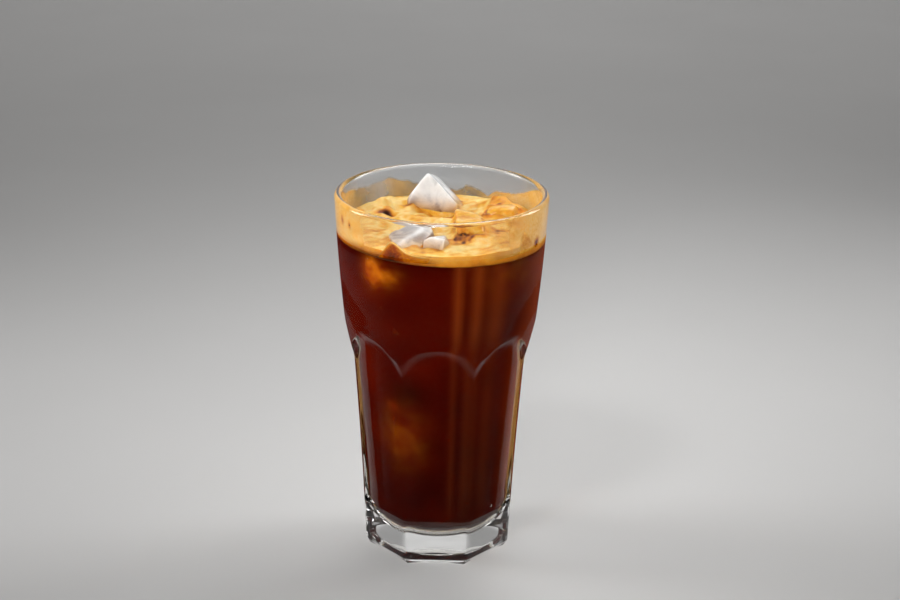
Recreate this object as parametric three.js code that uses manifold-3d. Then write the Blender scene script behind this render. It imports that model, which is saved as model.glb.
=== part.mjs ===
// A tall faceted glass of iced coffee: the glass, the drink in it, the foam on the drink and the
// blocks of ice that break through the foam. Millimetres, +Z up. The origin is on the table under
// the middle of the foot, and the side seen first looks towards -Y.
import * as THREE from "three";
import { mergeVertices } from "three/addons/utils/BufferGeometryUtils.js";
import Module from "manifold-3d";

const wasm = await Module();
wasm.setup();

// Space left between pieces that touch
const GAP = 0.3;

// The glass: eight flat facets below, round above
const FACETS = 8;
const HALF_FACET = Math.PI / FACETS;
const GLASS_SEGMENTS = FACETS * 8;
const RIM_HEIGHT = 158.2;
const BEAD_RADIUS = 1.5;
const BEAD_REACH = 44.1;
const BEAD_STEPS = 6;

// Foot: a shallow hollow under it, a flat ring that it stands on, and a bevel round its edge
const HOLLOW_DEPTH = 1.4;
const HOLLOW_RADIUS = 20;
const RING_INNER = 23;
const RING_OUTER = 27.5;
const FOOT_CORNER = 31.5;
const FOOT_LIFT = 0.8;
const BEVEL_HEIGHT = 3.2;

// Corner ridges between the facets, and how far the line of a ridge sags inwards
const RIDGE_FOOT = 33.7;
const RIDGE_TOP = 38.3;
const RIDGE_TOP_HEIGHT = 88;
const RIDGE_SAG = 0.4;

// Round upper body, from the points between two arches up to the bead, with a slight belly
const BODY_LOW_HEIGHT = 95;
const BODY_LOW_RADIUS = 39.5;
const BODY_HIGH_HEIGHT = 152;
const BODY_HIGH_RADIUS = 43.95;
const BODY_BELLY = 0.4;

// Each facet ends in an arch, where it curves out to the round body in a cove
const ARCH_TOP = 105.5;
const ARCH_CUSP = 95;
const ARCH_POWER = 2.2;
const COVE_HEIGHT = 9;
const COVE_POWER = 2.2;
const EDGE_SOFTENING = 0.9;

// Inside of the glass: a bowl at the bottom, then a taper that widens behind the arches
const FLOOR = 7.8;
const BOWL_TOP = 24;
const BOWL_RADIUS = 27.55;
const BOWL_POWER = 2.35;
const TAPER = 0.085;
const WIDENING = 3;
const WIDENING_START = 92;
const WIDENING_END = 124;

// The drink: the coffee's top is a little higher on the left, and the foam lies on it
const DRINK_SEGMENTS = 48;
const COFFEE_TOP = 140.4;
const COFFEE_TILT = 0.03;
const FOAM_TOP = 143.9;
const FOAM_RINGS = 8;
const FOAM_MOUNDS = [
  { x: -25, y: 27, rise: 3.0, spread: 9 },
  { x: 24, y: 25, rise: 3.2, spread: 9 },
  { x: 16, y: -6, rise: 2.4, spread: 9 },
  { x: -27, y: -6, rise: 0.9, spread: 11 },
  { x: 8, y: -34, rise: -0.5, spread: 10 },
];

// Blocks of ice. size is across, deep and tall; turn, lean and roll are degrees about the upright,
// the across and the deep axes. Each chip is a plane that flattens the block: the direction it
// faces, in the block's own axes, and its distance from the block's middle.
const ICE_STEPS = 5;
const ICE_PIECES = [
  {
    name: "ice_peak",
    place: [-3.6, 26.0, 140.7],
    size: [24, 15, 33],
    turn: -19,
    lean: -23,
    roll: 0,
    round: 2.0,
    chips: [
      { facing: [0.62, 0, 0.78], distance: 10.9 },
      { facing: [-0.8, -0.12, 0.58], distance: 12.9 },
      { facing: [-0.72, -0.66, 0.22], distance: 12.6 },
      { facing: [0, -0.5, -0.86], distance: 14 },
    ],
  },
  {
    name: "ice_front_left",
    place: [-12.5, -21.8, 139.6],
    size: [15, 22, 15],
    turn: -20,
    lean: 8,
    roll: -10,
    round: 1.6,
    chips: [
      { facing: [0.62, -0.12, 0.78], distance: 7.6 },
      { facing: [-0.72, 0.69, 0.1], distance: 10.4 },
      { facing: [-0.75, -0.62, 0.2], distance: 7.2 },
      { facing: [0.85, -0.1, -0.5], distance: 6.6 },
    ],
  },
  {
    name: "ice_front",
    place: [-1.0, -26.0, 140.9],
    size: [8.6, 12, 14],
    turn: -20,
    lean: -12,
    roll: 4,
    round: 1.6,
    chips: [
      { facing: [0.7, 0.3, 0.62], distance: 5.9 },
      { facing: [-0.66, 0.1, 0.74], distance: 5.6 },
    ],
  },
  {
    name: "ice_right",
    place: [11.0, -8.6, 141.0],
    size: [11.6, 23, 18.4],
    turn: 4,
    lean: 4,
    roll: 3,
    round: 2.4,
    chips: [
      { facing: [0.7, 0.6, 0.4], distance: 9.8 },
      { facing: [0.3, -0.8, 0.5], distance: 11.6 },
    ],
  },
  {
    name: "ice_back_right",
    place: [26.0, 12.6, 140.0],
    size: [14, 18, 17],
    turn: -16,
    lean: -6,
    roll: -5,
    round: 3.0,
    chips: [
      { facing: [0.7, 0.5, 0.5], distance: 9.8 },
      { facing: [-0.5, -0.6, 0.62], distance: 10.4 },
    ],
  },
];

const GLASS = { color: 0xe9eef0, roughness: 0.03, metalness: 0, transparent: true, opacity: 0.35 };
const COFFEE = { color: 0x2b0a04, roughness: 0.06, metalness: 0 };
const FOAM = { color: 0xe2b36d, roughness: 0.55, metalness: 0 };
const ICE = { color: 0xdfe3e4, roughness: 0.15, metalness: 0 };

const RADIANS = Math.PI / 180;

// Straight blend between two values
function blend(a, b, share) {
  return a + (b - a) * share;
}

// 0 below low, 1 above high, and an S-shaped curve between them
function ease(value, low, high) {
  const share = Math.min(Math.max((value - low) / (high - low), 0), 1);
  return share * share * (3 - 2 * share);
}

// Distance of a corner ridge from the axis
function ridgeRadius(z) {
  const share = (z - BEVEL_HEIGHT) / (RIDGE_TOP_HEIGHT - BEVEL_HEIGHT);
  const sag = RIDGE_SAG * Math.sin(Math.PI * Math.min(share, 1));
  return blend(RIDGE_FOOT, RIDGE_TOP, share) - sag;
}

// Radius of the round upper body
function bodyRadius(z) {
  const share = (z - BODY_LOW_HEIGHT) / (BODY_HIGH_HEIGHT - BODY_LOW_HEIGHT);
  const belly = BODY_BELLY * Math.sin(Math.PI * Math.max(share, 0));
  return blend(BODY_LOW_RADIUS, BODY_HIGH_RADIUS, share) + belly;
}

// Place across a facet: -1 and 1 at its ridges, 0 in its middle
function acrossFacet(angle) {
  const turns = angle / (2 * HALF_FACET);
  return 2 * (turns - Math.round(turns));
}

// Height of a facet's arch
function archHeight(across) {
  return blend(ARCH_TOP, ARCH_CUSP, Math.abs(across) ** ARCH_POWER);
}

// Outer radius of the glass above its bevel: the flat facet, the cove of its arch, the round body
function outerRadius(across, z) {
  const facet = (ridgeRadius(z) * Math.cos(HALF_FACET)) / Math.cos(across * HALF_FACET);
  const arch = archHeight(across);
  const cove = Math.min(Math.max((z - arch) / COVE_HEIGHT + 1, 0), 1) ** COVE_POWER;
  return blend(facet, bodyRadius(z), cove);
}

// Radius of the space inside the glass, above its bowl
function cavityRadius(z) {
  return BOWL_RADIUS + TAPER * (z - BOWL_TOP) + WIDENING * ease(z, WIDENING_START, WIDENING_END);
}

// Points of the bowl from the axis out to its edge, shrunk by inset
function bowlPoints(steps, inset) {
  const points = [];
  for (let i = 0; i <= steps; i += 1) {
    const turn = (i / steps) * (Math.PI / 2);
    const radius = Math.sin(turn) ** (2 / BOWL_POWER) * (BOWL_RADIUS - inset);
    const height = Math.cos(turn) ** (2 / BOWL_POWER) * (BOWL_TOP - FLOOR - inset);
    points.push(new THREE.Vector2(radius, BOWL_TOP - height));
  }
  points[0].x = 0;
  return points;
}

// A closed solid from a geometry whose surface is closed once its shared corners are joined
function solidOf(geometry) {
  const bare = geometry.index ? geometry.toNonIndexed() : geometry.clone();
  bare.deleteAttribute("normal");
  bare.deleteAttribute("uv");
  const merged = mergeVertices(bare, 1e-4);
  const corners = merged.index.array;
  const kept = [];
  for (let i = 0; i < corners.length; i += 3) {
    const [a, b, c] = [corners[i], corners[i + 1], corners[i + 2]];
    if (a !== b && b !== c && c !== a) {
      kept.push(a, b, c);
    }
  }
  const mesh = new wasm.Mesh({
    numProp: 3,
    vertProperties: merged.attributes.position.array,
    triVerts: new Uint32Array(kept),
  });
  return new wasm.Manifold(mesh);
}

// The geometry of a closed solid
function geometryOf(solid) {
  const mesh = solid.getMesh();
  const geometry = new THREE.BufferGeometry();
  geometry.setAttribute("position", new THREE.BufferAttribute(mesh.vertProperties, 3));
  geometry.setIndex(new THREE.BufferAttribute(mesh.triVerts, 1));
  geometry.computeVertexNormals();
  return geometry;
}

function meshOf(name, geometry, finish) {
  const mesh = new THREE.Mesh(geometry, new THREE.MeshStandardMaterial(finish));
  mesh.name = name;
  return mesh;
}

// A profile turned about +Z. reshape, if given, moves each point: it takes the point's number in
// the profile and its angle, and changes the point in place.
function turned(profile, segments, reshape) {
  const geometry = new THREE.LatheGeometry(profile, segments);
  geometry.rotateX(Math.PI / 2);
  const position = geometry.attributes.position;
  const point = new THREE.Vector3();
  for (let i = 0; reshape && i < position.count; i += 1) {
    point.fromBufferAttribute(position, i);
    const angle = (Math.floor(i / profile.length) / segments) * 2 * Math.PI;
    reshape(point, i % profile.length, angle);
    position.setXYZ(i, point.x, point.y, point.z);
  }
  return geometry;
}

// Heights of the outer rows, as they stand in the middle of a facet
function outerHeights() {
  const heights = [BEVEL_HEIGHT, 14, 32, 52, 74];
  for (const share of [0, 0.35, 0.6, 0.8, 0.92, 1]) {
    heights.push(ARCH_TOP - COVE_HEIGHT * (1 - share));
  }
  heights.push(ARCH_TOP + EDGE_SOFTENING, 115, 128, 141, BODY_HIGH_HEIGHT);
  return heights;
}

// The glass. Its outer rows dip between the arches, so that one of them runs along every arch.
function buildGlass() {
  const heights = outerHeights();
  const foot = [
    [0, HOLLOW_DEPTH],
    [HOLLOW_RADIUS, HOLLOW_DEPTH],
    [RING_INNER, 0],
    [RING_OUTER, 0],
    [FOOT_CORNER, 0],
  ];
  const profile = foot.map(([radius, z]) => new THREE.Vector2(radius, z));
  heights.forEach((z) => profile.push(new THREE.Vector2(bodyRadius(z), z)));
  const beadMiddle = RIM_HEIGHT - BEAD_RADIUS;
  for (let i = 0; i <= BEAD_STEPS; i += 1) {
    const turn = (i / BEAD_STEPS) * Math.PI;
    const reach = BEAD_REACH - BEAD_RADIUS + BEAD_RADIUS * Math.cos(turn);
    profile.push(new THREE.Vector2(reach, beadMiddle + BEAD_RADIUS * Math.sin(turn)));
  }
  for (const z of [151, 138, 124, 116, 108, 100, 92, 58]) {
    profile.push(new THREE.Vector2(cavityRadius(z), z));
  }
  profile.push(...bowlPoints(6, 0).reverse());

  const edgeRow = foot.length - 1;
  const lastRow = edgeRow + heights.length;
  return turned(profile, GLASS_SEGMENTS, (point, row, angle) => {
    const across = acrossFacet(angle);
    let radius = Math.hypot(point.x, point.y);
    if (row === edgeRow) {
      radius *= Math.cos(HALF_FACET) / Math.cos(across * HALF_FACET);
      point.z = FOOT_LIFT * (1 - across * across);
    } else if (row > edgeRow && row <= lastRow) {
      const follows = ease(point.z, 32, 96) * (1 - ease(point.z, 106, 141));
      point.z -= (ARCH_TOP - archHeight(across)) * follows;
      radius = outerRadius(across, point.z);
    } else {
      return;
    }
    point.x = radius * Math.sin(angle);
    point.y = -radius * Math.cos(angle);
  });
}

// The coffee's top
function coffeeHeight(x) {
  return COFFEE_TOP - COFFEE_TILT * x;
}

// The foam's top: level, with mounds where it lies over ice
function foamHeight(x, y) {
  let height = FOAM_TOP;
  for (const mound of FOAM_MOUNDS) {
    const away = Math.hypot(x - mound.x, y - mound.y) / mound.spread;
    height += mound.rise * Math.exp(-away * away);
  }
  return height;
}

// The coffee, down to the floor of the glass, before the ice is cut from it
function buildCoffee() {
  const profile = bowlPoints(5, GAP);
  for (const z of [58, 92, 100, 108, 116, 124]) {
    profile.push(new THREE.Vector2(cavityRadius(z) - GAP, z));
  }
  const top = COFFEE_TOP - GAP;
  const topRow = profile.length;
  profile.push(new THREE.Vector2(cavityRadius(top) - GAP, top), new THREE.Vector2(0, top));
  return turned(profile, DRINK_SEGMENTS, (point, row) => {
    if (row >= topRow) {
      point.z = coffeeHeight(point.x) - GAP;
    }
  });
}

// The foam on the coffee, before the ice is cut from it
function buildFoam() {
  const edge = cavityRadius(FOAM_TOP) - GAP;
  const profile = [
    new THREE.Vector2(0, COFFEE_TOP),
    new THREE.Vector2(cavityRadius(COFFEE_TOP) - GAP, COFFEE_TOP),
  ];
  for (let ring = FOAM_RINGS; ring >= 0; ring -= 1) {
    profile.push(new THREE.Vector2((edge * ring) / FOAM_RINGS, FOAM_TOP));
  }
  return turned(profile, DRINK_SEGMENTS, (point, row) => {
    point.z = row < 2 ? coffeeHeight(point.x) : foamHeight(point.x, point.y);
  });
}

// A block of ice in its own axes, with every face moved out by grow: a box with round edges,
// flattened where a plane chips it
function iceGeometry(piece, grow) {
  const half = new THREE.Vector3(...piece.size).multiplyScalar(0.5);
  const inner = half.clone().subScalar(piece.round);
  const geometry = new THREE.BoxGeometry(2, 2, 2, ICE_STEPS, ICE_STEPS, ICE_STEPS);
  const position = geometry.attributes.position;
  const point = new THREE.Vector3();
  const core = new THREE.Vector3();
  const facing = new THREE.Vector3();
  for (let i = 0; i < position.count; i += 1) {
    point.fromBufferAttribute(position, i).multiply(half);
    core.copy(point).clamp(inner.clone().negate(), inner);
    point.sub(core).normalize().multiplyScalar(piece.round + grow).add(core);
    for (const chip of piece.chips) {
      facing.set(...chip.facing).normalize();
      const excess = point.dot(facing) - chip.distance - grow;
      if (excess > 0) {
        point.addScaledVector(facing, -excess);
      }
    }
    position.setXYZ(i, point.x, point.y, point.z);
  }
  return geometry;
}

// A block of ice where it floats
function buildIce(piece) {
  const mesh = meshOf(piece.name, geometryOf(solidOf(iceGeometry(piece, 0))), ICE);
  mesh.position.set(...piece.place);
  mesh.rotation.set(piece.lean * RADIANS, piece.roll * RADIANS, piece.turn * RADIANS, "ZXY");
  mesh.updateMatrix();
  return mesh;
}

// A solid of the drink with room left for every block of ice
function cutRoundIce(geometry, iceMeshes) {
  let solid = solidOf(geometry);
  ICE_PIECES.forEach((piece, i) => {
    const room = iceGeometry(piece, GAP).applyMatrix4(iceMeshes[i].matrix);
    solid = solid.subtract(solidOf(room));
  });
  return geometryOf(solid);
}

const drink = new THREE.Group();
const ice = ICE_PIECES.map(buildIce);
drink.add(meshOf("glass", geometryOf(solidOf(buildGlass())), GLASS));
drink.add(meshOf("coffee", cutRoundIce(buildCoffee(), ice), COFFEE));
drink.add(meshOf("foam", cutRoundIce(buildFoam(), ice), FOAM));
ice.forEach((mesh) => drink.add(mesh));

export default drink;
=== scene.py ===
"""Iced coffee in a tall faceted glass: the finished looks of the glass, drink, foam and ice.

Lengths are metres and +Z is up. The named sizes are those of the solids. Every new piece is a
grid of points worked out from them with numpy, and every finish is made of nodes.
"""

import math

import bmesh
import bpy
import numpy as np
from mathutils import Matrix


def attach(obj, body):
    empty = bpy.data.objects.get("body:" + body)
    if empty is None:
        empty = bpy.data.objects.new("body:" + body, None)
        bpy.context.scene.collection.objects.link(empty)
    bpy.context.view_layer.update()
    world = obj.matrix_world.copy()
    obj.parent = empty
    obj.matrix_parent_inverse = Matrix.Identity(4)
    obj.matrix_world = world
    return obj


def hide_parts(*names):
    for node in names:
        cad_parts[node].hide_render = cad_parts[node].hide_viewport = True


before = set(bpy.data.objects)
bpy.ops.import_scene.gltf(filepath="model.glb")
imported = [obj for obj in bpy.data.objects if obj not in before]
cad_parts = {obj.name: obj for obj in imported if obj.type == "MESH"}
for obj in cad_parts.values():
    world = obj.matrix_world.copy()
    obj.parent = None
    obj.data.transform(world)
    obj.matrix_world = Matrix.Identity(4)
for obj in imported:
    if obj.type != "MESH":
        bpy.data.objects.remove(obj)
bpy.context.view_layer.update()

MM = 0.001

# The glass: eight flat facets below, round above
FACETS = 8
HALF_FACET = math.pi / FACETS
RIM_HEIGHT = 158.2 * MM
BEAD_RADIUS = 1.5 * MM
BEAD_REACH = 44.1 * MM

# Foot: a shallow hollow under it, a flat ring that it stands on, and a bevel round its edge
HOLLOW_DEPTH = 1.4 * MM
HOLLOW_RADIUS = 20 * MM
RING_INNER = 23 * MM
RING_OUTER = 27.5 * MM
FOOT_CORNER = 31.5 * MM
FOOT_LIFT = 0.8 * MM
BEVEL_HEIGHT = 3.2 * MM

# Corner ridges between the facets, how far their line sags and how far they are rounded off
RIDGE_FOOT = 33.7 * MM
RIDGE_TOP = 38.3 * MM
RIDGE_TOP_HEIGHT = 88 * MM
RIDGE_SAG = 0.4 * MM
RIDGE_EASE = 0.3 * MM

# Round upper body, with a slight belly
BODY_LOW_HEIGHT = 95 * MM
BODY_LOW_RADIUS = 39.5 * MM
BODY_HIGH_HEIGHT = 152 * MM
BODY_HIGH_RADIUS = 43.95 * MM
BODY_BELLY = 0.4 * MM

# Each facet ends in an arch, where it curves out to the round body in a cove. A painted glint
# raises the gloss along a line below the arch
ARCH_TOP = 105.5 * MM
ARCH_CUSP = 95 * MM
ARCH_POWER = 2.2
COVE_HEIGHT = 9 * MM
COVE_POWER = 2.2
GLINT_DROP = 3 * MM
GLINT_WIDTH = 2.2 * MM

# Inside of the glass: a bowl at the bottom, then a taper that widens behind the arches
FLOOR = 7.8 * MM
BOWL_TOP = 24 * MM
BOWL_RADIUS = 27.55 * MM
BOWL_POWER = 2.35
TAPER = 0.085
WIDENING = 3 * MM
WIDENING_START = 92 * MM
WIDENING_END = 124 * MM

# The drink reaches just into the wall, so that no air shows between them. The foam sinks a little
# into the coffee
COFFEE_REACH = 0.10 * MM
FOAM_REACH = 0.05 * MM
FILM_REACH = 0.08 * MM
COFFEE_TOP = 140.4 * MM
COFFEE_TILT = 0.03
FOAM_TOP = 143.9 * MM
FOAM_SINK = 0.5 * MM
FILM_LOW = 141.2 * MM
FILM_HIGH = RIM_HEIGHT - 1.3 * MM

# Mounds of the foam: x, y, rise and spread in mm
FOAM_MOUNDS = (
    (-25, 27, 3.0, 9),
    (24, 25, 3.2, 9),
    (16, -6, 2.4, 9),
    (-27, -6, 0.9, 11),
    (8, -34, -0.5, 10),
)

# Blocks of ice in mm and degrees: where the middle is; size across, deep and tall; turn, lean and
# roll; the planes that chip it, as the direction faced and the distance from the middle; then its
# share of clear ice, and how high above the foam a coat of foam reaches
ICE_PIECES = {
    "ice_peak": (
        (-3.6, 26.0, 140.7), (24, 15, 33), (-19, -23, 0),
        (((0.62, 0, 0.78), 10.9), ((-0.8, -0.12, 0.58), 12.9),
         ((-0.72, -0.66, 0.22), 12.6), ((0, -0.5, -0.86), 14)),
        0.18, 0.5,
    ),
    "ice_front_left": (
        (-12.5, -21.8, 139.6), (15, 22, 15), (-20, 8, -10),
        (((0.62, -0.12, 0.78), 7.6), ((-0.72, 0.69, 0.1), 10.4),
         ((-0.75, -0.62, 0.2), 7.2), ((0.85, -0.1, -0.5), 6.6)),
        0.0, 0.4,
    ),
    "ice_front": (
        (-1.0, -26.0, 140.9), (8.6, 12, 14), (-20, -12, 4),
        (((0.7, 0.3, 0.62), 5.9), ((-0.66, 0.1, 0.74), 5.6)),
        0.1, 0.3,
    ),
    "ice_right": (
        (11.0, -8.6, 141.0), (11.6, 23, 18.4), (4, 4, 3),
        (((0.7, 0.6, 0.4), 9.8), ((0.3, -0.8, 0.5), 11.6)),
        0.2, 9.0,
    ),
    "ice_back_right": (
        (26.0, 12.6, 140.0), (14, 18, 17), (-16, -6, -5),
        (((0.7, 0.5, 0.5), 9.8), ((-0.5, -0.6, 0.62), 10.4)),
        0.35, 7.0,
    ),
}

# Blocks wholly sunk in the coffee, written in the same way up to the planes that chip them
SUNK_PIECES = {
    "sunk_ice_high": (
        (-18.0, -18.4, 126.5), (16, 15, 19), (38, 8, 12),
        (((0.7, -0.5, 0.5), 9.0),),
    ),
    "sunk_ice_middle": (
        (-6.0, -19.5, 113.0), (25, 18, 17), (8, -12, 6),
        (((-0.6, -0.6, 0.5), 11.0),),
    ),
    "sunk_ice_low": (
        (-10.0, -13.4, 64.0), (21, 17, 27), (24, 5, -4),
        (((0.7, -0.4, 0.6), 12.0), ((-0.6, -0.3, 0.7), 13.0)),
    ),
    "sunk_ice_back": (
        (6.0, 15.0, 92.0), (24, 20, 26), (30, 15, 10),
        (((0.7, -0.4, 0.6), 12.0),),
    ),
}

# Places on the foam: x, y, width and depth in mm, turn in degrees; then how far the foam dips there
# in mm, and how much more coffee soaks it
FOAM_PLACES = {
    "hole": (-23.3, 13.7, 3.4, 2.2, -20, 2.2, 0.9),
    "gap": (-5.4, -25.0, 1.9, 4.2, -20, 2.0, 1.0),
    "hollow": (9.5, -21.5, 4.5, 2.5, 10, 0.8, 0.30),
    "before_peak": (-1.5, 16.0, 9.0, 4.2, -12, 2.6, 0.0),
    "band": (-4.0, 12.8, 9.0, 2.2, 3, 0.0, 0.34),
    "wedge": (-2.5, -15.5, 3.0, 4.5, -15, 0.0, 0.30),
    "left": (-34, 2, 7, 16, 0, 0.0, 0.12),
    "front_left": (-22, -22, 8, 8, 0, 0.0, 0.20),
    "right": (30, -8, 13, 22, 0, 0.0, 0.26),
}
FOAM_CREST = (-24, 25, 9)

# How sharply the faces of a block meet, where it is bare and where foam has coated it
BARE_EDGES = 34
COATED_EDGES = 9
COATED_PIECES = ("ice_right", "ice_back_right")

# Marks on the blocks: x, y, width and depth in mm, and the strength of a stain. The pits fade out
# between two heights
ICE_PITS = (9, -19, 6, 4)
PITS_END = (147 * MM, 148.5 * MM)
ICE_STAINS = ((9, 20, 4.5, 8, 0.6), (-14, 16, 5, 7, 0.4))

# Upper edge of the film that the foam left on the wall: direction in degrees from the front
# towards the right, and height in mm
FILM_EDGE = (
    (-180, 147.5), (-172, 148.5), (-160, 150.5), (-152, 152.5), (-145, 153.5), (-133, 152.6),
    (-120, 152.8), (-108, 153.6), (-97, 155.5), (-88, 158), (-27, 158), (-26, 139),
    (20, 139), (21, 158), (100, 158), (111, 155), (123, 151.5), (135, 149), (147, 148),
    (152, 146), (158, 148), (166, 149), (172, 147), (180, 147.5),
)

# How dense the film is, and over how many mm its edge fades, by the same directions
FILM_DENSITY = (
    (-180, 0.75), (-150, 0.85), (-140, 0.40), (-120, 0.85), (-100, 0.90), (-70, 0.96),
    (70, 0.96), (110, 0.92), (130, 0.90), (150, 0.85), (180, 0.75),
)
FILM_FADE = (
    (-180, 1.2), (-100, 1.6), (-60, 2.0), (-40, 2.0), (-25, 1.0), (25, 1.0),
    (45, 2.5), (70, 2.0), (110, 1.0), (180, 1.2),
)

# Directions in degrees: where coffee has run up the wall, and the middle of the front, which is
# free of film
NOTCH_AT = -26
FILM_FREE_AT = -3

# Spots: direction in degrees and its spread, height in mm and its spread, and strength. Dark ones
# on the film, then painted glows and painted shade inside the drink
FILM_SPOTS = (
    (65, 2.4, 143.2, 1.8, 0.8),
    (-57.5, 1.3, 150.4, 1.3, 0.6),
    (-66, 1.8, 151, 1.8, 0.6),
)
PAINTED_GLOWS = (
    (50, 22, 137, 12, 0.16),
    (-42, 6, 133.5, 5, 1.8),
    (-30, 7, 133, 4, 0.5),
    (-27, 15, 60, 12, 0.22),
    (-33, 5, 73.5, 1.5, 0.45),
)
PAINTED_SHADES = ((-22, 14, 81, 6, 0.6),)

# Upright streaks of painted light in the drink: direction and its spread, and strength. Those at
# the front are weak behind the facets
PAINTED_FRONT_STREAKS = ((12, 3, 1.0), (24, 4, 1.0), (38, 7, 0.8))
PAINTED_SIDE_STREAK = (84, 18, 0.8)

# Camera fitted to the photo's rim, foot and arches
IMAGE_WIDTH = 900
FOCAL_PIXELS = 1478.899
SENSOR = 36.0
CAMERA_PLACE = (0.011633, -0.581755, 0.333791)
CAMERA_YAW = -0.0131185
CAMERA_PITCH = 0.3664317
CAMERA_ROLL = -0.0156353


# Shapes

def blend(a, b, share):
    """Straight blend from a to b."""
    return a + (b - a) * share


def ease(value, low, high):
    """0 below low, 1 above high, and 3 s squared minus 2 s cubed between them."""
    share = np.clip((value - low) / (high - low), 0, 1)
    return share * share * (3 - 2 * share)


def bell(value, middle, spread):
    """exp(-((value - middle) / spread) squared)."""
    return np.exp(-((value - middle) / spread) ** 2)


def soft_least(a, b, width):
    """The smaller of a and b, minus width times log(1 + exp(-difference / width))."""
    return -width * np.logaddexp(-a / width, -b / width)


def waves(points, length, seed, count=28):
    """Smooth random relief of about -1 to 1: a sum of sine waves of random direction and phase,
    each between 0.7 and 1.5 times length long."""
    random = np.random.default_rng(seed)
    heading = random.normal(size=(count, points.shape[-1]))
    heading /= np.linalg.norm(heading, axis=-1, keepdims=True)
    pace = 2 * math.pi / (length * random.uniform(0.7, 1.5, (count, 1)))
    phase = random.uniform(0, 2 * math.pi, count)
    return np.sin(points @ (heading * pace).T + phase).sum(-1) / math.sqrt(count)


def gather(points, x, y, width, depth=None, turn=0.0):
    """Bell-shaped patch of 0 to 1 about (x, y), in mm and degrees:
    exp(-(along / width) squared - (beside / depth) squared)."""
    depth = depth or width
    cosine, sine = math.cos(math.radians(turn)), math.sin(math.radians(turn))
    away_x, away_y = points[..., 0] / MM - x, points[..., 1] / MM - y
    along = away_x * cosine + away_y * sine
    beside = away_y * cosine - away_x * sine
    return bell(along, 0, width) * bell(beside, 0, depth)


def spots(table, degrees, height):
    """Sum over a table of spots: strength, times a bell of direction, times a bell of height."""
    return sum(
        strength * bell(degrees, to, across) * bell(height, up, along)
        for to, across, up, along, strength in table
    )


def follow(table, degrees):
    """Value at each direction of a table of directions and values, straight between them."""
    directions, values = zip(*table)
    return np.interp(degrees, directions, values)


def ridge_radius(z):
    """Radius of a corner ridge: a straight line in z, less a half sine wave of sag."""
    share = (z - BEVEL_HEIGHT) / (RIDGE_TOP_HEIGHT - BEVEL_HEIGHT)
    sag = RIDGE_SAG * np.sin(math.pi * np.minimum(share, 1))
    return blend(RIDGE_FOOT, RIDGE_TOP, share) - sag


def body_radius(z):
    """Radius of the round body: a straight line in z, plus a half sine wave of belly."""
    share = (z - BODY_LOW_HEIGHT) / (BODY_HIGH_HEIGHT - BODY_LOW_HEIGHT)
    belly = BODY_BELLY * np.sin(math.pi * np.maximum(share, 0))
    return blend(BODY_LOW_RADIUS, BODY_HIGH_RADIUS, share) + belly


def arch_height(across):
    """Height of a facet's arch: its top in the middle, its cusps at across = -1 and 1."""
    return blend(ARCH_TOP, ARCH_CUSP, np.abs(across) ** ARCH_POWER)


def outer_radius(across, z):
    """Outer radius of the glass: flat facet (apothem / cosine) up to its arch, then round body."""
    facet = ridge_radius(z) * math.cos(HALF_FACET) / np.cos(across * HALF_FACET)
    facet = soft_least(facet, ridge_radius(z) - RIDGE_EASE, 0.7 * RIDGE_EASE)
    rise = np.maximum((z - arch_height(across)) / COVE_HEIGHT + 1, 0)
    cove = np.clip(soft_least(rise, np.ones_like(rise), 0.03), 0, 1) ** COVE_POWER
    return blend(facet, body_radius(z), cove)


def cavity_radius(z):
    """Inner radius above the bowl: a taper, plus an S-shaped step behind the arches."""
    return BOWL_RADIUS + TAPER * (z - BOWL_TOP) + WIDENING * ease(z, WIDENING_START, WIDENING_END)


def wall_depth(points):
    """How far inside the wall of the glass points lie."""
    return cavity_radius(points[..., 2]) - np.hypot(points[..., 0], points[..., 1])


def bowl_profile(steps, reach):
    """Radius and height of a quarter superellipse from the axis to the wall, grown by reach."""
    turn = np.linspace(0, math.pi / 2, steps)
    radius = np.sin(turn) ** (2 / BOWL_POWER) * (BOWL_RADIUS + reach)
    height = np.clip(np.cos(turn), 0, 1) ** (2 / BOWL_POWER) * (BOWL_TOP - FLOOR + reach)
    return np.stack([radius, BOWL_TOP - height], -1)


def rounded(rows, corner, reach, steps=5):
    """Rows of points with row number corner replaced by a curve: the quadratic Bezier curve from
    reach before the corner to reach after it, with one more row outside each end."""
    at = rows[corner]
    ends = []
    for other in (rows[corner - 1], rows[corner + 1]):
        away = np.linalg.norm(other - at, axis=-1, keepdims=True)
        ends.append((other - at) * np.minimum(reach / np.maximum(away, 1e-9), 0.4))
    share = np.linspace(0, 1, steps)[:, None, None]
    curve = at + (1 - share) ** 2 * ends[0] + share ** 2 * ends[1]
    outside = [(at + 1.2 * end)[None] for end in ends]
    return np.concatenate([rows[:corner], outside[0], curve, outside[1], rows[corner + 1:]])


def turned(radius, height, angle):
    """Points at that radius and height, at angle from the front (-Y) towards the right (+X)."""
    radius, height, angle = np.broadcast_arrays(radius, height, angle)
    return np.stack([radius * np.sin(angle), -radius * np.cos(angle), height], -1)


def heading_of(points):
    """Direction of points in degrees, from the front (-Y) towards the right (+X)."""
    return np.degrees(np.arctan2(points[..., 0], -points[..., 1]))


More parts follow.
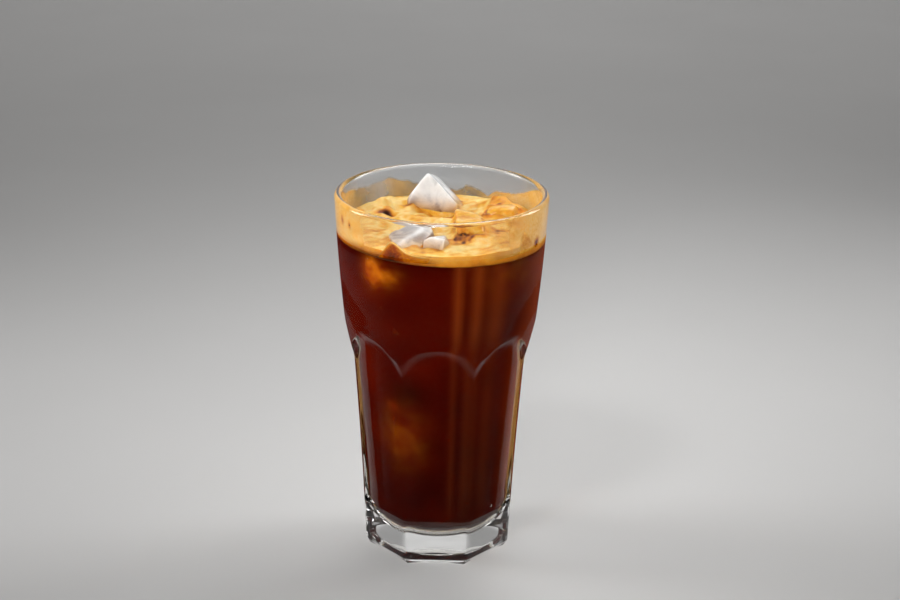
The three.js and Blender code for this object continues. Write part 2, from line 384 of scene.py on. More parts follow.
def piece_of(name, grids, finish, marks=None):
    """A closed mesh from grids of points (rows x columns x 3) whose edges meet. marks gives, by
    name, one array of values per grid, which the finish reads as an attribute."""
    places = []
    corners = []
    start = 0
    for grid in grids:
        rows, columns = grid.shape[:2]
        index = np.arange(rows * columns).reshape(rows, columns) + start
        quads = [index[:-1, :-1], index[1:, :-1], index[1:, 1:], index[:-1, 1:]]
        corners.append(np.stack(quads, -1).reshape(-1, 4))
        places.append(grid.reshape(-1, 3))
        start += rows * columns
    places = np.concatenate(places)
    corners = np.concatenate(corners)
    first, second, third, fourth = (places[corners[:, i]] for i in range(4))
    volume = (np.cross(second - first, third - first) * first).sum()
    volume += (np.cross(third - first, fourth - first) * first).sum()
    if volume < 0:
        corners = corners[:, ::-1]

    mesh = bpy.data.meshes.new(name)
    mesh.vertices.add(len(places))
    mesh.vertices.foreach_set("co", places.astype(np.float32).ravel())
    mesh.loops.add(corners.size)
    mesh.loops.foreach_set("vertex_index", corners.astype(np.int32).ravel())
    mesh.polygons.add(len(corners))
    mesh.polygons.foreach_set("loop_start", np.arange(0, corners.size, 4, dtype=np.int32))
    mesh.update(calc_edges=True)
    for mark, values in (marks or {}).items():
        layer = mesh.attributes.new(mark, "FLOAT", "POINT")
        flat = np.concatenate([np.ravel(value) for value in values]).astype(np.float32)
        layer.data.foreach_set("value", flat)
    shape = bmesh.new()
    shape.from_mesh(mesh)
    bmesh.ops.remove_doubles(shape, verts=shape.verts, dist=1e-6)
    shape.to_mesh(mesh)
    shape.free()
    mesh.shade_smooth()
    mesh.materials.append(finish)
    piece = bpy.data.objects.new(name, mesh)
    bpy.context.scene.collection.objects.link(piece)
    return piece


def glass_grid():
    """The glass as one grid, from the middle of its underside over the rim to the middle of its
    floor. The outer rows dip between the arches by arch top minus arch height, so that one row
    runs along every arch. Columns crowd towards the ridges as the sine of an even spacing, and
    the corners of the foot are rounded."""
    even = np.linspace(-1, 1, 27)[:-1]
    across = np.tile(np.sin(even * math.pi / 2), FACETS)
    facet = np.repeat(np.arange(FACETS), len(even))
    angle = 2 * HALF_FACET * (facet + across / 2)
    polygon = math.cos(HALF_FACET) / np.cos(across * HALF_FACET)

    def level(radius, z):
        radius, z, _ = np.broadcast_arrays(radius, z, across)
        return np.stack([radius, z], -1)

    foot = [
        level(0, HOLLOW_DEPTH), level(HOLLOW_RADIUS, HOLLOW_DEPTH),
        level(RING_INNER, 0), level(RING_OUTER, 0),
        level(FOOT_CORNER * polygon, FOOT_LIFT * (1 - across ** 2)),
    ]
    heights = np.concatenate([
        [3.2, 3.8, 6], np.arange(10, 92, 4), np.arange(92, 96, 1), np.arange(96, 104, 0.5),
        np.arange(104, 108, 0.2), np.arange(108, 116, 1), np.arange(116, 151, 3), [152],
    ]) * MM
    wall = []
    for z in heights:
        follows = ease(z, 32 * MM, 96 * MM) * (1 - ease(z, 106 * MM, 141 * MM))
        dipped = z - (ARCH_TOP - arch_height(across)) * follows
        wall.append(level(outer_radius(across, dipped), dipped))
    turn = np.linspace(0, math.pi, 17)
    reach = BEAD_REACH - BEAD_RADIUS + BEAD_RADIUS * np.cos(turn)
    lift = RIM_HEIGHT - BEAD_RADIUS + BEAD_RADIUS * np.sin(turn)
    bead = [level(radius, z) for radius, z in zip(reach, lift)]
    inner = np.concatenate([[154.5], np.arange(151, 60, -3), np.arange(58, 24, -6)]) * MM
    inside = [level(cavity_radius(z), z) for z in inner]
    bowl = [level(radius, z) for radius, z in bowl_profile(28, 0)[::-1]]
    rows = np.stack(foot + wall + bead + inside + bowl)
    for corner, ease_over in ((5, 0.5), (4, 0.6), (3, 1.0), (2, 0.8), (1, 2.0)):
        rows = rounded(rows, corner, ease_over * MM)
    rows = np.concatenate([rows, rows[:, :1]], axis=1)
    return turned(rows[..., 0], rows[..., 1], np.append(angle, angle[0]))


def arch_glint(points):
    """Marks a line at a set drop below every arch, where a painted glint raises the gloss: a bell
    of the height above that line.
    """
    facets = np.arctan2(points[..., 0], -points[..., 1]) / (2 * HALF_FACET)
    arch = arch_height(2 * (facets - np.round(facets)))
    return bell(points[..., 2], arch - GLINT_DROP, GLINT_WIDTH)


def coffee_height(x):
    """Top of the coffee, a little higher on the left."""
    return COFFEE_TOP - COFFEE_TILT * x


def foam_height(x, y):
    """Top of the foam: level, plus a bell-shaped mound at each named place."""
    height = np.full_like(x, FOAM_TOP)
    for mound_x, mound_y, rise, spread in FOAM_MOUNDS:
        away = np.hypot(x - mound_x * MM, y - mound_y * MM) / (spread * MM)
        height = height + rise * MM * np.exp(-away * away)
    return height


def coffee_grid():
    """The coffee: the bowl, the wall and the top, each just inside the glass."""
    angle = np.linspace(0, 2 * math.pi, 145)
    profile = bowl_profile(24, COFFEE_REACH)
    wall = np.arange(24, 140, 2) * MM
    side = np.stack([cavity_radius(wall) + COFFEE_REACH, wall], -1)
    top_radius = cavity_radius(COFFEE_TOP) + COFFEE_REACH
    top = np.stack([top_radius * np.linspace(1, 0, 12), np.full(12, COFFEE_TOP)], -1)
    profile = np.concatenate([profile, side, top])
    grid = turned(profile[:, :1], profile[:, 1:], angle[None])
    tops = slice(len(profile) - 12, None)
    grid[tops, :, 2] = coffee_height(grid[tops, :, 0])
    return grid


def depth_grid():
    """The dim inside of the coffee: close to the glass at the bottom, further in above, and up to
    just under the coffee's sloping top. Above the bowl it is moved a little to the left."""
    angle = np.linspace(0, 2 * math.pi, 145)
    profile = bowl_profile(20, -0.8 * MM)
    wall = np.arange(26, 139, 2) * MM
    inset = blend(1.0 * MM, 2.4 * MM, ease(wall, 24 * MM, 90 * MM))
    side = np.stack([cavity_radius(wall) - inset, wall], -1)
    profile = np.concatenate([profile, side, [[0, 138 * MM]]])
    grid = turned(profile[:, :1], profile[:, 1:], angle[None])
    top_share = np.maximum((grid[..., 2] - 130 * MM) / (8 * MM), 0)
    grid[..., 2] += top_share * (coffee_height(grid[..., 0]) - 138.6 * MM)
    grid[..., 0] -= 0.6 * MM * ease(grid[..., 2], 12 * MM, 40 * MM)
    return grid


def painted_inner_light(points):
    """Painted light and shade inside the drink, as marks of 0 to 1: painted glows at the named
    spots, painted streaks of light, and a dark that deepens towards the foot, plus painted shade at
    the named spots."""
    degrees = heading_of(points)
    height = points[..., 2] / MM
    streaks = sum(strength * bell(degrees, to, across) for to, across, strength in PAINTED_FRONT_STREAKS)
    streaks = streaks * blend(0.25, 1.0, ease(height, 98, 112)) * ease(height, 10, 40)
    to, across, strength = PAINTED_SIDE_STREAK
    streaks += strength * bell(degrees, to, across) * ease(height, 15, 40)
    dark = 0.5 * (1 - ease(height, 15, 115)) + spots(PAINTED_SHADES, degrees, height)
    return {"near": spots(PAINTED_GLOWS, degrees, height), "streaks": streaks, "dark": dark}


def ice_matrix(place, turns):
    """Turn about the upright, then lean about the across axis, then roll about the deep axis."""
    turn, lean, roll = (
        Matrix.Rotation(math.radians(value), 3, axis) for value, axis in zip(turns, "ZXY")
    )
    return np.array(turn @ lean @ roll), np.array(place) * MM


def ice_planes(size, chips):
    """Faces of a block: the directions faced, as rows, and their distances from the middle."""
    half = np.array(size) * MM / 2
    faces = np.concatenate([np.eye(3), -np.eye(3), [facing for facing, _ in chips]])
    faces = faces / np.linalg.norm(faces, axis=-1, keepdims=True)
    reach = np.concatenate([half, half, [distance * MM for _, distance in chips]])
    return faces, reach


def ice_depth(points, spec):
    """How far outside the block a point is: the largest distance past any of its planes."""
    place, size, turns, chips = spec[:4]
    matrix, middle = ice_matrix(place, turns)
    faces, reach = ice_planes(size, chips)
    return (((points - middle) @ matrix) @ faces.T - reach).max(-1)


def ice_grids(spec, seed, steps=46, sharp=BARE_EDGES):
    """A block of ice as the six sides of a cube. In each direction it reaches
    (sum over its planes of (cosine / distance) ** sharp) ** (-1 / sharp), a blunted meeting of the
    planes, plus a long and a short random relief where it has melted. Its edges are marked by how
    nearly the two strongest planes pull alike."""
    place, size, turns, chips = spec[:4]
    faces, reach = ice_planes(size, chips)
    matrix, middle = ice_matrix(place, turns)
    even = np.tan(np.linspace(-1, 1, steps) * math.pi / 4)
    u, v = np.meshgrid(even, even, indexing="ij")
    ones = np.ones_like(u)
    half = np.array(size) / max(size)
    grids = []
    edges = []
    for sides in (
        (ones, u, v), (-ones, v, u), (v, ones, u), (u, -ones, v), (u, v, ones), (v, u, -ones),
    ):
        heading = np.stack(sides, -1) * half
        heading = heading / np.linalg.norm(heading, axis=-1, keepdims=True)
        pull = np.maximum(heading @ faces.T, 0) / reach
        span = (pull ** sharp).sum(-1) ** (-1 / sharp)
        strongest = np.sort(pull, axis=-1)
        edges.append(ease(strongest[..., -2] / strongest[..., -1], 0.8, 1.0))
        local = heading * span[..., None]
        relief = 0.22 * MM * waves(local, 11 * MM, seed)
        relief += 0.03 * MM * waves(local, 3 * MM, seed + 1)
        local = local + heading * (relief - 0.1 * MM)[..., None]
        grids.append(local @ matrix.T + middle)
    return grids, edges


def ice_marks(points, edge, clear, coated):
    """Marks of one side of a floating block: its share of clear ice, its edges (a painted
    highlight), what is sunk in the coffee, a painted glow near the wall there, the coat of foam,
    the pits, and the stain near the foam."""
    above = points[..., 2] - foam_height(points[..., 0], points[..., 1])
    sunk = coffee_height(points[..., 0]) - points[..., 2]
    stain = ease(-above, -7 * MM, 1 * MM)
    for *place, strength in ICE_STAINS:
        stain = stain + strength * gather(points, *place)
    return {
        "clear": np.full(above.shape, clear),
        "edge": edge,
        "sunk": ease(sunk, -0.5 * MM, 0.5 * MM),
        "near": np.exp(-np.maximum(wall_depth(points), 0) / (1.6 * MM)),
        "coat": ease(-above, -coated * MM, (1 - coated) * MM),
        "pits": gather(points, *ICE_PITS) * (1 - ease(points[..., 2], *PITS_END)),
        "stain": stain,
    }


def by_name(sides):
    """Marks given side by side, as one list of values for each name."""
    return {name: [side[name] for side in sides] for name in sides[0]}


def foam_grid():
    """The foam: rings from the middle to the wall, the side, and the underside. The top is the
    named height plus random relief, less a dip at each named place. It creeps up the wall and the
    ice, and rises round the coated blocks. Returned with how far coffee soaks each point."""
    angle = np.linspace(0, 2 * math.pi, 301)
    degrees = np.degrees(angle)
    rings = 1 - (1 - np.linspace(0, 1, 110)) ** 1.15
    top_radius = (cavity_radius(FOAM_TOP) + FOAM_REACH) * rings[:, None]
    top = turned(top_radius, FOAM_TOP, angle[None])
    flat = top[..., :2]
    crest = gather(top, *FOAM_CREST)

    height = foam_height(top[..., 0], top[..., 1])
    rough = blend(0.3, 1.0, ease(top[..., 1], -18 * MM, 6 * MM))
    height += rough * MM * (0.50 * waves(flat, 9 * MM, 11) + 0.22 * waves(flat, 3.5 * MM, 12))
    height += 0.7 * MM * crest * waves(flat, 5 * MM, 15)
    to_wall = cavity_radius(FOAM_TOP) - top_radius
    height = blend(height, FOAM_TOP, 0.8 * np.exp(-to_wall / (2 * MM)))
    height += 0.7 * MM * np.exp(-np.maximum(to_wall, 0) / (0.8 * MM))
    probe = np.concatenate([flat, height[..., None]], -1)
    to_ice = {name: np.maximum(ice_depth(probe, spec), 0) for name, spec in ICE_PIECES.items()}
    nearest = np.min(list(to_ice.values()), axis=0)
    height += 0.6 * MM * np.exp(-nearest / (0.9 * MM))
    for name in COATED_PIECES:
        height += 2.0 * MM * np.exp(-to_ice[name] / (1.8 * MM))

    soak = 0.12 + 0.28 * np.exp(-nearest / (1.2 * MM)) - 0.12 * crest
    soak += 0.25 * gather(top, *FOAM_PLACES["hollow"][:5]) * waves(flat, 2.5 * MM, 16)
    soak += 0.15 * waves(flat, 12 * MM, 13) + 0.13 * waves(flat, 4 * MM, 14)
    for *place, dip, soaked in FOAM_PLACES.values():
        patch = gather(top, *place)
        height -= dip * MM * patch
        soak += soaked * patch
    top[..., 2] = height

    share = np.linspace(0, 1, 14)[1:-1, None]
    edge = top[-1]
    foot_height = coffee_height(edge[:, 0]) - FOAM_SINK
    side_height = blend(edge[None, :, 2], foot_height[None], share)
    side = turned(cavity_radius(side_height) + FOAM_REACH, side_height, angle[None])
    side_soak = blend(0.34, 0.62, share ** 1.2) + 0.42 * share ** 1.5 * bell(degrees, 305, 38)
    side_soak += 0.30 * bell(degrees, 332, 8)
    under_radius = cavity_radius(COFFEE_TOP) * np.linspace(1, 0, 5)
    under = turned(under_radius[:, None], COFFEE_TOP, angle[None])
    under[..., 2] = coffee_height(under[..., 0]) - FOAM_SINK
    under_soak = np.full(under.shape[:2], 0.8)
    return np.concatenate([top, side, under]), np.concatenate([soak, side_soak, under_soak])


def film_grid():
    """The film: a thin closed shell on the wall, from inside the foam to above its ragged upper
    edge. Only its outer side shows. It covers fully well below the edge and not at all above it,
    and it fades out towards the front. Returned with its marks."""
    angle = np.linspace(-math.pi, math.pi, 481)
    degrees = np.degrees(angle)
    ring = np.stack([np.cos(angle), np.sin(angle)], -1)
    edge = follow(FILM_EDGE, degrees) + 0.35 * waves(ring, 0.22, 21) + 0.12 * waves(ring, 0.06, 22)
    z = blend(FILM_LOW, FILM_HIGH, np.linspace(0, 1, 64)[:, None]) + np.zeros_like(angle)
    height = z / MM
    above = height - edge
    thick = (0.05 + 0.22 * ease(-above, 0, 3)) * MM
    outer = turned(cavity_radius(z) + FILM_REACH, z, angle[None])
    inner = turned(cavity_radius(z) - thick, z, angle[None])

    # A peak of coffee with a lip of foam on it, whose right side is lower and longer
    left = degrees < NOTCH_AT
    peak = bell(degrees, NOTCH_AT, np.where(left, 8.0, 7.0))
    notch_top = np.where(left, 139 + 9.2 * peak, 143.7 + 4.5 * peak)
    reach = ease(degrees, -48, -44) * (1 - ease(degrees, -16, 10))
    notch = ease(notch_top - height, -0.2, 0.7) * reach
    lip = bell(height, notch_top + 0.3, 0.6) * ease(degrees, -32, -24) * reach
    deep = np.clip((notch_top - height) / 6, 0, 1) * bell(degrees, -27, 9)

    # A golden splash, in the shape of a leaning triangle
    splash_side = np.abs(degrees - 54 + 0.5 * (height - 145)) / 9
    splash = ease(1 - splash_side - (height - 141) / 11.5, 0, 0.25)

    cover = ease(-above / follow(FILM_FADE, degrees), -0.6, 1.0)
    cover *= np.clip((np.abs(degrees - FILM_FREE_AT) - 24) / 44, 0, 1)
    cover = np.maximum.reduce([cover, notch, splash, 0.9 * lip])
    dense = np.maximum(follow(FILM_DENSITY, degrees), 0.8 * ease(-above, 4, 9))
    dense = np.maximum(dense, 0.97 * np.maximum(notch, splash))
    above_coffee = (z - coffee_height(outer[..., 0])) / MM
    soak = 0.16 + 0.10 * ease(above, -2, 0) + 0.55 * ease(-above_coffee, -3.2, 0.4)
    soak = blend(soak, 0.62 + 0.34 * deep, notch) - 0.16 * lip
    soak = blend(soak, 0.30, splash) + spots(FILM_SPOTS, degrees, height)
    back_olive_right = 0.4 * ease(degrees, 85, 110) + 0.6 * ease(degrees, 140, 160)
    dried = np.where(degrees < 0, ease(-degrees, 95, 125), back_olive_right) + np.zeros_like(z)

    marks = {"cover": cover, "dense": dense, "soak": soak, "dried": dried}
    marks = {name: np.concatenate([mark, mark[::-1], mark[:1]]) for name, mark in marks.items()}
    marks["cover"][len(outer):-1] = 0
    grid = np.concatenate([outer, inner[::-1], outer[:1]])
    return grid, {name: [mark] for name, mark in marks.items()}


def floor_grid():
    """A round table that sweeps up into a wall: flat, then a quarter circle, then upright."""
    reach, bend, top = 2.4, 0.8, 2.6
    turn = np.linspace(0, math.pi / 2, 13)
    curve = np.stack([reach + bend * np.sin(turn), bend - bend * np.cos(turn)], -1)
    profile = np.concatenate([[[0, 0], [0.5, 0], [1.5, 0]], curve, [[reach + bend, top]]])
    angle = np.linspace(0, 2 * math.pi, 97)
    return turned(profile[:, :1], profile[:, 1:] - 0.2 * MM, angle[None])


# Finishes

DEPTH_COLOURS = ((0.35, (0.050, 0.0010, 0.0003)), (0.65, (0.100, 0.0045, 0.0006)))
# Colours of the painted glow in the drink
PAINTED_GLOW_COLOURS = ((0.35, (0.30, 0.026, 0.001)), (0.65, (0.66, 0.21, 0.008)))

FOAM_COLOURS = (
    (0.0, (0.86, 0.60, 0.21)),
    (0.25, (0.80, 0.42, 0.050)),
    (0.5, (0.66, 0.24, 0.010)),
    (0.75, (0.25, 0.055, 0.004)),
    (1.0, (0.035, 0.007, 0.0015)),
)
FILM_COLOURS = (
    (0.0, (0.88, 0.60, 0.24)),
    (0.25, (0.74, 0.39, 0.060)),
    (0.5, (0.58, 0.19, 0.006)),
    (0.75, (0.24, 0.030, 0.001)),
    (1.0, (0.04, 0.008, 0.0015)),
)

OLIVE_COLOURS = ((0.35, (0.22, 0.14, 0.04)), (0.65, (0.46, 0.27, 0.06)))

ICE_COLOURS = ((0.36, (0.62, 0.63, 0.65)), (0.46, (0.78, 0.80, 0.82)), (0.6, (0.86, 0.88, 0.90)))
STAIN_COLOURS = ((0.35, (0.20, 0.08, 0.02)), (0.6, (0.60, 0.38, 0.18)))
EDGE_HIGHLIGHT_COLOUR = (0.98, 0.98, 0.98, 1)
# Colour where the drink is marked dark: darker towards the foot, and painted shade
DARK_COLOUR = (0.012, 0.0012, 0.0005, 1)
# Colour of the painted streaks of light
PAINTED_STREAK_COLOUR = (0.27, 0.048, 0.010, 1)


class Wire:
    """An output socket of a finish. Arithmetic on it adds Math nodes."""

    def __init__(self, finish, socket):
        self.finish = finish
        self.socket = socket

    def math(self, operation, first, second=0.0):
        return self.finish.node("Math", {"operation": operation}, {0: first, 1: second})

    def __add__(self, other):
        return self.math("ADD", self, other)

    def __radd__(self, other):
        return self.math("ADD", other, self)

    def __sub__(self, other):
        return self.math("SUBTRACT", self, other)

    def __rsub__(self, other):
        return self.math("SUBTRACT", other, self)

    def __mul__(self, other):
        return self.math("MULTIPLY", self, other)

    def __rmul__(self, other):
        return self.math("MULTIPLY", other, self)

    def clipped(self):
        """The value kept between 0 and 1."""
        return self.finish.node("Clamp", {}, {0: self})

    def between(self, low, high):
        """0 below low, 1 above high, and a smooth step between them."""
        settings = {"interpolation_type": "SMOOTHSTEP"}
        return self.finish.node("MapRange", settings, {0: self, 1: low, 2: high})


class Finish:
    """A material under construction."""

    def __init__(self, name):
        self.material = bpy.data.materials.new(name)
        self.material.use_nodes = True
        self.tree = self.material.node_tree
        self.tree.nodes.clear()

    def node(self, kind, settings, inputs, output=0):
        """Adds a node: its settings first, then the values or links of its sockets."""
        node = self.tree.nodes.new("ShaderNode" + kind)
        for key, value in settings.items():
            if key == "stops":
                ramp = node.color_ramp
                while len(ramp.elements) < len(value):
                    ramp.elements.new(1.0)
                for element, (place, colour) in zip(ramp.elements, value):
                    element.position = place
                    element.color = (*colour, 1.0)
            else:
                setattr(node, key, value)
        for key, value in inputs.items():
            socket = node.inputs[key]
            if isinstance(value, Wire):
                self.tree.links.new(value.socket, socket)
            else:
                socket.default_value = value
        return Wire(self, node.outputs[output])

    def place(self):
        """The point of the surface, in the piece's own metres."""
        return self.node("TexCoord", {}, {}, "Object")

    def mark(self, name):
        """A value that the piece carries at every point."""
        return self.node("Attribute", {"attribute_name": name}, {}, "Fac")

    def noise(self, size, detail=3.0, roughness=0.55, distortion=0.0):
        """Random pattern of about 0.3 to 0.7, with patches about size across."""
        inputs = {
            "Vector": self.place(), "Scale": 1 / size, "Detail": detail,
            "Roughness": roughness, "Distortion": distortion,
        }
        return self.node("TexNoise", {}, inputs)

    def ramp(self, value, stops):
        """Colours that follow a value from 0 to 1."""
        return self.node("ValToRGB", {"stops": stops}, {0: value})

    def mixed(self, share, first, second):
        """First colour at share 0, second at share 1."""
        return self.node("Mix", {"data_type": "RGBA"}, {0: share, 6: first, 7: second}, 2)

    def bumped(self, height, distance, strength=1.0):
        """Normals of a relief of that height, where 1 stands for distance."""
        return self.node("Bump", {}, {"Height": height, "Distance": distance, "Strength": strength})

    def principled(self, **inputs):
        """The main shader, with sockets named by words joined with underscores."""
        named = {key.replace("_", " "): value for key, value in inputs.items()}
        return self.node("BsdfPrincipled", {}, named)

    def lit_through(self, shader, tint):
        """Lets the lamps shine through unbent, so that they light what lies behind."""
        lamp = self.node("LightPath", {}, {}, "Is Shadow Ray")
        clear = self.node("BsdfTransparent", {}, {"Color": tint})
        return self.node("MixShader", {}, {0: lamp, 1: shader, 2: clear})

    def done(self, surface, volume=None):
        """Ends the material with its surface and, in a clear piece, its inside."""
        inputs = {"Surface": surface}
        if volume:
            inputs["Volume"] = volume
        end = self.tree.nodes.new("ShaderNodeOutputMaterial")
        for key, value in inputs.items():
            self.tree.links.new(value.socket, end.inputs[key])
        return self.material


def glass_finish(name, shine):
    """Clear pressed glass, with the faint swell that a mould leaves. shine is its share of the
    gloss that glass has in air: 1 in air, and 0 inside, where the drink touches it. Anything
    between is for the outside of a full part, where the glass only bends light and that share of
    the gloss lies over it, raised along the arches by a painted glint, and all of it where light
    can't get out."""
    finish = Finish(name)
    swell = finish.bumped(finish.noise(0.018, 1.0), 0.00012)
    tint = (0.985, 0.992, 0.99, 1)
    if shine in (0.0, 1.0):
        glass = finish.principled(
            Base_Color=tint, Roughness=0.0, IOR=1.5,
            Transmission_Weight=1.0, Normal=swell, Specular_Tint=(shine, shine, shine, 1),
        )
    else:
        smooth = {"Roughness": 0.0, "Normal": swell}
        bent = finish.node("BsdfRefraction", {}, {"Color": tint, "IOR": 1.5, **smooth})
        gloss = finish.node("BsdfGlossy", {}, smooth)
        mirrored = finish.node("Fresnel", {}, {"IOR": 1.5, "Normal": swell})
        # Painted glint: more of the gloss along the marked line below every arch
        shared = mirrored * (shine + 0.75 * finish.mark("arch"))
        share = shared + (mirrored - 0.9).between(0.0, 0.05)
        glass = finish.node("MixShader", {}, {0: share.clipped(), 1: bent, 2: gloss})
    return finish.done(finish.lit_through(glass, (0.98, 0.985, 0.985, 1)))


def coffee_finish():
    """Clear coffee near the glass: light is lost inside it, blue soonest and red last."""
    finish = Finish("black_coffee")
    tint = finish.ramp(finish.noise(0.02), ((0.3, (0.96, 0.95, 0.94)), (0.7, (1.0, 1.0, 1.0))))
    surface = finish.principled(
        Base_Color=tint, Roughness=0.0, IOR=1.33, Transmission_Weight=1.0,
        Specular_Tint=(0.0, 0.0, 0.0, 1),
    )
    inside = finish.node("VolumeAbsorption", {}, {"Color": (0.83, 0.58, 0.0, 1), "Density": 150.0})
    return finish.done(finish.lit_through(surface, (1.0, 1.0, 1.0, 1)), inside)


def sunk_colour(finish):
    """Colour of what lies in the coffee: a painted orange glow where marked, painted brown streaks
    of light, else the dark red of its depth, darker towards the foot and in painted shade."""
    deep = finish.ramp(finish.noise(0.03, 2.0), DEPTH_COLOURS)
    deep = finish.mixed(finish.mark("dark"), deep, DARK_COLOUR)
    tone = finish.mixed(finish.mark("streaks") * 0.9, deep, PAINTED_STREAK_COLOUR)
    cloud = finish.noise(0.006, 4.0, 0.6)
    glow = finish.ramp(cloud, PAINTED_GLOW_COLOURS)
    near = (finish.mark("near") * (0.4 + cloud * 1.2)).clipped()
    return finish.mixed(near, tone, glow)


def depth_finish():
    """The dim inside of the coffee and the ice sunk in it, with painted glows, streaks of light and
    shade.
    """
    finish = Finish("coffee_depth")
    return finish.done(finish.principled(
        Base_Color=sunk_colour(finish), Roughness=1.0, Specular_IOR_Level=0.0,
    ))


def foam_finish():
    """Fine foam: cream, then gold, orange and brown where coffee soaks it."""
    finish = Finish("coffee_foam")
    patches = finish.noise(0.009, 4.0, 0.6)
    froth = finish.node(
        "TexVoronoi", {"feature": "F1"}, {"Vector": finish.place(), "Scale": 1 / 0.0007},
    )
    soak = finish.mark("soak") + (patches - 0.5) * 0.65
    colour = finish.ramp(soak.clipped(), FOAM_COLOURS)
    relief = finish.bumped(froth + patches * 1.5, 0.00012, 0.6)
    return finish.done(finish.principled(
        Base_Color=colour, Roughness=0.42, Specular_IOR_Level=0.25, Normal=relief,
        Subsurface_Weight=0.25, Subsurface_Radius=(1.0, 0.6, 0.3), Subsurface_Scale=0.0015,
    ))


def film_finish():
    """The film of foam on the wall: the foam's colours, turned darker olive towards the back, and
    broken up where it has run down."""
    finish = Finish("foam_film")
    patches = finish.noise(0.009, 3.0, 0.5)
    grains = finish.noise(0.0009, 2.0, 0.6)
    soak = finish.mark("soak") + (patches - 0.5) * 0.6 + (grains - 0.5) * 0.5
    foamy = finish.ramp(soak.clipped(), FILM_COLOURS)
    olive = finish.ramp(patches, OLIVE_COLOURS)
    colour = finish.mixed(finish.mark("dried"), foamy, olive)
    broken = (patches - 0.5) * 0.8 + (grains - 0.5) * 0.3
    cover = (finish.mark("cover") * (1.2 + broken) - 0.1 + broken * 0.3).clipped()
    dense = finish.mark("dense")
    veil = (dense + (patches - 0.5) * 0.9 * (1 - dense)).clipped()
    return finish.done(finish.principled(
        Base_Color=colour, Roughness=0.5, Alpha=cover * veil, Specular_IOR_Level=0.0,
        Normal=finish.bumped(grains + patches, 0.0001, 0.4),
    ))


def ice_finish():
    """Wet ice: clear in places, white where air is frozen in, with a painted white highlight along
    its edges, stained by coffee near the foam, and coated with foam where it is marked so: gold,
    with brown pits. What is sunk has the colour of the drink there, painted glow and shade
    included."""
    finish = Finish("wet_ice")
    streaks = finish.noise(0.010, 4.0, 0.55, 0.8)
    fine = finish.noise(0.0018, 3.0, 0.6)
    relief = finish.bumped(streaks + fine * 0.25, 0.0005, 0.5)
    edge = finish.mark("edge")
    sunk = finish.mark("sunk")
    stain = finish.mark("stain").clipped()
    white = finish.ramp(streaks, ICE_COLOURS)
    brown = finish.ramp(streaks, STAIN_COLOURS)
    # Painted highlight: bare ice is mixed towards white along its edges
    edge_highlighted = finish.mixed(edge * 0.6 * (1 - stain), finish.mixed(stain, white, brown), EDGE_HIGHLIGHT_COLOUR)
    pits = finish.mark("pits") * (fine - 0.42).between(0.0, 0.12)
    # Along the edges the gold shifts a little towards brown
    warm = (fine - 0.5) * 0.5 + (streaks - 0.5) * 1.0 + edge * 0.10 + 0.26 + 0.5 * pits
    gold = finish.ramp(warm.clipped(), FOAM_COLOURS)
    coat = (finish.mark("coat") + (streaks - 0.5) * 1.4).between(0.3, 0.7)
    floating = finish.mixed(coat, edge_highlighted, gold)
    cloudy = finish.principled(
        Base_Color=finish.mixed(sunk, floating, sunk_colour(finish)),
        Roughness=0.14, IOR=1.31, Normal=relief,
        Subsurface_Weight=0.5, Subsurface_Radius=(1.0, 0.97, 0.94), Subsurface_Scale=0.003,
    )
    clear = finish.principled(
        Base_Color=(0.97, 0.98, 0.98, 1), Roughness=0.04, IOR=1.31,
        Transmission_Weight=1.0, Normal=relief,
    )
    share = (finish.mark("clear") + (streaks - 0.5) * 1.6).between(0.3, 0.9)
    share = share * (1 - coat) * (1 - sunk)
    return finish.done(finish.node("MixShader", {}, {0: share, 1: cloudy, 2: clear}))


def floor_finish():
    """Plain pale table."""
    finish = Finish("pale_table")
    tone = finish.ramp(finish.noise(0.4), ((0.3, (0.57, 0.565, 0.56)), (0.7, (0.61, 0.605, 0.60))))
    return finish.done(finish.principled(Base_Color=tone, Roughness=0.6))


# The pieces

def settle(piece, node=None):
    """Puts a finished piece on the part's body and hides the node that it stands for, if one is
    given.
    """
    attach(piece, "root")
    if node:
        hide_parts(node)


# Faces of the glass: in air, inside where it is wet, and outside where the drink lies behind it
grid = glass_grid()
in_air = glass_finish("pressed_glass", 1.0)
glass = piece_of("glass_body", [grid], in_air, {"arch": [arch_glint(grid)]})
glass.data.materials.append(glass_finish("wetted_glass", 0.0))
glass.data.materials.append(glass_finish("filled_glass", 0.05))
middles = np.zeros(len(glass.data.polygons) * 3)
glass.data.polygons.foreach_get("center", middles)
middles = middles.reshape(-1, 3)
z = middles[:, 2]
inside = wall_depth(middles) > -0.1 * MM
full = (z > FLOOR) & (z < FOAM_TOP)
kinds = np.where(inside & full, 1, np.where(full & (z > BOWL_TOP), 2, 0))
glass.data.polygons.foreach_set("material_index", kinds.astype(np.int32))
settle(glass, "glass")

settle(piece_of("coffee_body", [coffee_grid()], coffee_finish()), "coffee")
grid = depth_grid()
dim = depth_finish()
settle(piece_of("coffee_depth", [grid], dim, by_name([painted_inner_light(grid)])))
grid, soak = foam_grid()
settle(piece_of("foam_layer", [grid], foam_finish(), {"soak": [soak]}), "foam")
grid, film_marks = film_grid()
settle(piece_of("foam_film", [grid], film_finish(), film_marks))

wet_ice = ice_finish()
for number, (name, spec) in enumerate(ICE_PIECES.items()):
    sharp = COATED_EDGES if name in COATED_PIECES else BARE_EDGES
    grids, edges = ice_grids(spec, 100 + 10 * number, sharp=sharp)
    marks = by_name([ice_marks(points, edge, *spec[4:]) for points, edge in zip(grids, edges)])
    settle(piece_of("block_" + name, grids, wet_ice, marks), name)

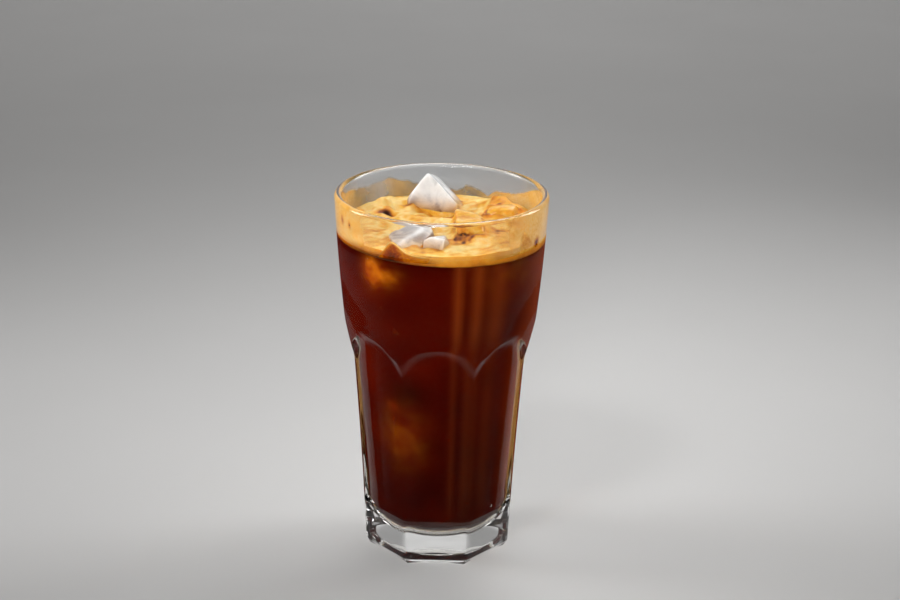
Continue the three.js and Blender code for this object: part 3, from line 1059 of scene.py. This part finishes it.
for number, (name, spec) in enumerate(SUNK_PIECES.items()):
    grids, _ = ice_grids(spec, 300 + 10 * number, 30)
    marks = by_name([painted_inner_light(points) for points in grids])
    # The sunk blocks carry a little more painted glow than the depth around them
    marks["near"] = [mark + 0.05 for mark in marks["near"]]
    settle(piece_of(name, grids, dim, marks))


# Floor, light and camera

def soft_light(name, place, aim, size, power, spread):
    """A rectangular soft light at place that faces aim and shines within spread degrees."""
    lamp = bpy.data.lights.new(name, "AREA")
    lamp.shape = "RECTANGLE"
    lamp.size, lamp.size_y = size
    lamp.energy = power
    lamp.spread = math.radians(spread)
    light = bpy.data.objects.new(name, lamp)
    back = np.array(place, float) - np.array(aim, float)
    back /= np.linalg.norm(back)
    side = np.cross((0, 0, 1), back)
    side /= np.linalg.norm(side)
    columns = np.stack([side, np.cross(back, side), back], -1)
    light.matrix_world = Matrix.Translation(place) @ Matrix(columns.tolist()).to_4x4()
    bpy.context.scene.collection.objects.link(light)


table = piece_of("table", [floor_grid()], floor_finish())
table.data.flip_normals()
soft_light("over_glass", (0.10, 0.30, 0.66), (0, 0.10, 0.0), (0.34, 0.24), 0.52, 120)
soft_light("upper_left", (-0.30, -0.42, 0.80), (-0.01, -0.02, 0.14), (0.15, 0.15), 0.04, 24)
soft_light("right", (0.75, 0.35, 0.5), (0, 0, 0.1), (0.3, 0.6), 0.7, 70)
soft_light("left", (-0.7, 0.1, 0.45), (0, 0, 0.12), (0.25, 0.5), 0.55, 70)
soft_light("front", (-0.10, -0.95, 0.42), (0, 0, 0.13), (0.4, 0.15), 0.12, 24)
soft_light("floor_behind", (0, 1.3, 2.2), (0, 1.2, 0.0), (1.8, 0.8), 9, 140)
soft_light("wall_behind", (0, 1.6, 0.9), (0, 3.2, 1.5), (1.6, 0.5), 30, 150)

world = bpy.data.worlds.new("studio")
world.use_nodes = True
world.node_tree.nodes["Background"].inputs["Color"].default_value = (1.0, 0.98, 0.95, 1)
world.node_tree.nodes["Background"].inputs["Strength"].default_value = 0.06
bpy.context.scene.world = world

forward = np.array([
    math.sin(CAMERA_YAW) * math.cos(CAMERA_PITCH),
    math.cos(CAMERA_YAW) * math.cos(CAMERA_PITCH),
    -math.sin(CAMERA_PITCH),
])
level_right = np.array([math.cos(CAMERA_YAW), -math.sin(CAMERA_YAW), 0.0])
level_down = np.cross(forward, level_right)
right = level_right * math.cos(CAMERA_ROLL) + level_down * math.sin(CAMERA_ROLL)
down = -level_right * math.sin(CAMERA_ROLL) + level_down * math.cos(CAMERA_ROLL)
lens = bpy.data.cameras.new("camera")
lens.sensor_width = SENSOR
lens.lens = FOCAL_PIXELS * SENSOR / IMAGE_WIDTH
lens.clip_start = 0.01
camera = bpy.data.objects.new("camera", lens)
columns = np.stack([right, -down, -forward], -1)
camera.matrix_world = Matrix.Translation(CAMERA_PLACE) @ Matrix(columns.tolist()).to_4x4()
bpy.context.scene.collection.objects.link(camera)
bpy.context.scene.camera = camera
bpy.context.scene.view_settings.view_transform = "Standard"

bpy.context.view_layer.update()
